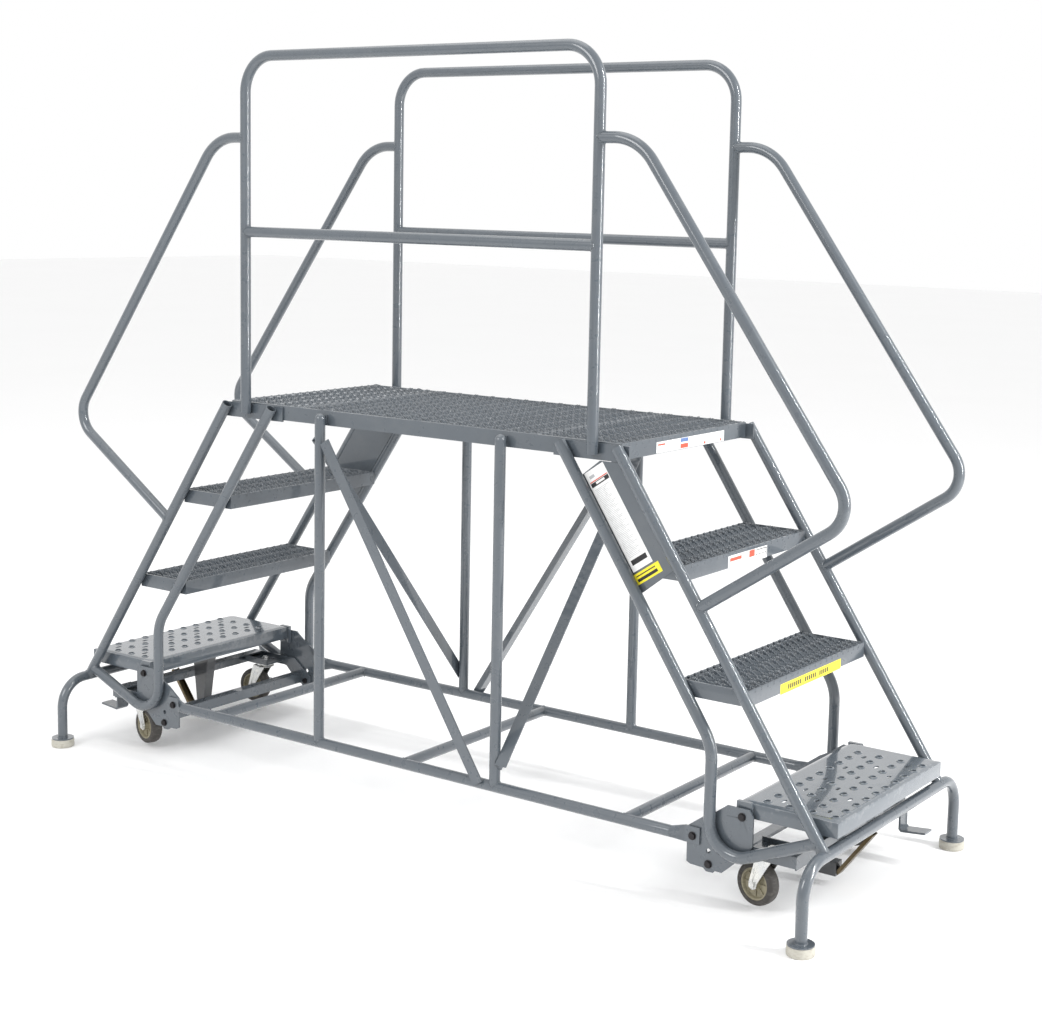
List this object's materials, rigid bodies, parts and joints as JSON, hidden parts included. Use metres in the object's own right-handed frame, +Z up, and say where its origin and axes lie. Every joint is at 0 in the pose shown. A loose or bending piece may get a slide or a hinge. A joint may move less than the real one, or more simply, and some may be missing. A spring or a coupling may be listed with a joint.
{
  "type": "mobile ladder stand",
  "caption": "Rolling double-entry steel work platform: stairs at both ends, guarded deck, rubber feet and casters that lift clear when it is stood on.",
  "frame": {"origin": "on the floor, under the middle of the deck", "axes": "+X along the platform from one stair to the other, +Y across it, +Z up"},
  "size_m": [2.382, 0.8558, 1.9035],
  "materials": {
    "frame_paint": "blue-grey gloss enamel over steel",
    "deck_paint": "blue-grey enamel worn bright on the raised edges",
    "rubber_pad": "cream moulded rubber",
    "bolt_steel": "black oxide steel",
    "zinc": "bright zinc plate",
    "tyre": "dark grey moulded tyre",
    "hub": "olive moulded hub",
    "dark_steel": "dark grey enamel",
    "strap": "yellow zinc plate"
  },
  "bodies": {
    "frame": {"base_rail_far": "frame_paint", "base_rail_near": "frame_paint", "corner_brackets": "frame_paint", "cross_braces": "frame_paint", "cross_tubes": "frame_paint", "deck_ends": "deck_paint", "deck_middle": "deck_paint", "foot_pads": "rubber_pad", "foot_tube_left": "frame_paint", "foot_tube_right": "frame_paint", "foot_washers": "frame_paint", "frame_pivot_bolts": "bolt_steel", "guard_hoop_far": "frame_paint", "guard_hoop_near": "frame_paint", "gussets": "frame_paint", "handrail_left_far": "frame_paint", "handrail_left_near": "frame_paint", "handrail_right_far": "frame_paint", "handrail_right_near": "frame_paint", "inner_stringers_left": "frame_paint", "inner_stringers_right": "frame_paint", "long_braces": "frame_paint", "mid_rails": "frame_paint", "outer_stringers_left": "frame_paint", "outer_stringers_right": "frame_paint", "rail_bolts": "bolt_steel", "side_panels": "frame_paint", "step_pivot_bolts": "bolt_steel", "treads_left": "deck_paint", "treads_right": "deck_paint", "uprights": "frame_paint"},
    "lock_step_right": {"lock_step_right": "deck_paint", "lock_leg_right": "dark_steel", "latch_strap_right": "strap"},
    "caster_frame_right": {"caster_frame_right": "frame_paint", "release_pedal_right": "frame_paint", "king_pins_right": "zinc"},
    "lock_step_left": {"lock_step_left": "deck_paint", "lock_leg_left": "dark_steel", "latch_strap_left": "strap"},
    "caster_frame_left": {"caster_frame_left": "frame_paint", "release_pedal_left": "frame_paint", "king_pins_left": "zinc"},
    "caster_right_near": {"fork_right_near": "zinc", "axle_right_near": "zinc"},
    "wheel_right_near": {"tyre_right_near": "tyre", "hub_right_near": "hub"},
    "caster_right_far": {"fork_right_far": "zinc", "axle_right_far": "zinc"},
    "wheel_right_far": {"tyre_right_far": "tyre", "hub_right_far": "hub"},
    "caster_left_near": {"fork_left_near": "zinc", "axle_left_near": "zinc"},
    "wheel_left_near": {"tyre_left_near": "tyre", "hub_left_near": "hub"},
    "caster_left_far": {"fork_left_far": "zinc", "axle_left_far": "zinc"},
    "wheel_left_far": {"tyre_left_far": "tyre", "hub_left_far": "hub"}
  },
  "joints": [
    {"name": "caster_frame_right_pivot", "type": "hinge", "parent": "frame", "child": "caster_frame_right", "pos_m": [0.869, 0, 0.095], "axis": [0, 1, 0], "range_deg": [0, 10]},
    {"name": "lock_step_right_hinge", "type": "hinge", "parent": "frame", "child": "lock_step_right", "pos_m": [0.95, 0, 0.221], "axis": [0, -1, 0], "range_deg": [0, 8]},
    {"name": "caster_frame_left_pivot", "type": "hinge", "parent": "frame", "child": "caster_frame_left", "pos_m": [-0.869, 0, 0.095], "axis": [0, -1, 0], "range_deg": [0, 10]},
    {"name": "lock_step_left_hinge", "type": "hinge", "parent": "frame", "child": "lock_step_left", "pos_m": [-0.95, 0, 0.221], "axis": [0, 1, 0], "range_deg": [0, 8]},
    {"name": "caster_right_near_swivel", "type": "hinge", "parent": "caster_frame_right", "child": "caster_right_near", "pos_m": [1.005, -0.244, 0.13], "axis": [0, 0, 1], "continuous": true},
    {"name": "wheel_right_near_spin", "type": "hinge", "parent": "caster_right_near", "child": "wheel_right_near", "pos_m": [0.96955, -0.23775, 0.062], "axis": [-0.1736, -0.9848, 0], "continuous": true},
    {"name": "caster_right_far_swivel", "type": "hinge", "parent": "caster_frame_right", "child": "caster_right_far", "pos_m": [1.005, 0.244, 0.13], "axis": [0, 0, 1], "continuous": true},
    {"name": "wheel_right_far_spin", "type": "hinge", "parent": "caster_right_far", "child": "wheel_right_far", "pos_m": [0.97023, 0.23468, 0.062], "axis": [0.2588, -0.9659, 0], "continuous": true},
    {"name": "caster_left_near_swivel", "type": "hinge", "parent": "caster_frame_left", "child": "caster_left_near", "pos_m": [-1.005, -0.244, 0.13], "axis": [0, 0, 1], "continuous": true},
    {"name": "wheel_left_near_spin", "type": "hinge", "parent": "caster_left_near", "child": "wheel_left_near", "pos_m": [-0.96979, -0.25149, 0.062], "axis": [0.2079, 0.9781, 0], "continuous": true},
    {"name": "caster_left_far_swivel", "type": "hinge", "parent": "caster_frame_left", "child": "caster_left_far", "pos_m": [-1.005, 0.244, 0.13], "axis": [0, 0, 1], "continuous": true},
    {"name": "wheel_left_far_spin", "type": "hinge", "parent": "caster_left_far", "child": "wheel_left_far", "pos_m": [-1.04086, 0.24086, 0.062], "axis": [0.0872, -0.9962, 0], "continuous": true}
  ],
  "couplings": [
    {"joint": "lock_step_right_hinge", "follows": "caster_frame_right_pivot", "ratio": 0.8},
    {"joint": "lock_step_left_hinge", "follows": "caster_frame_left_pivot", "ratio": 0.8}
  ]
}
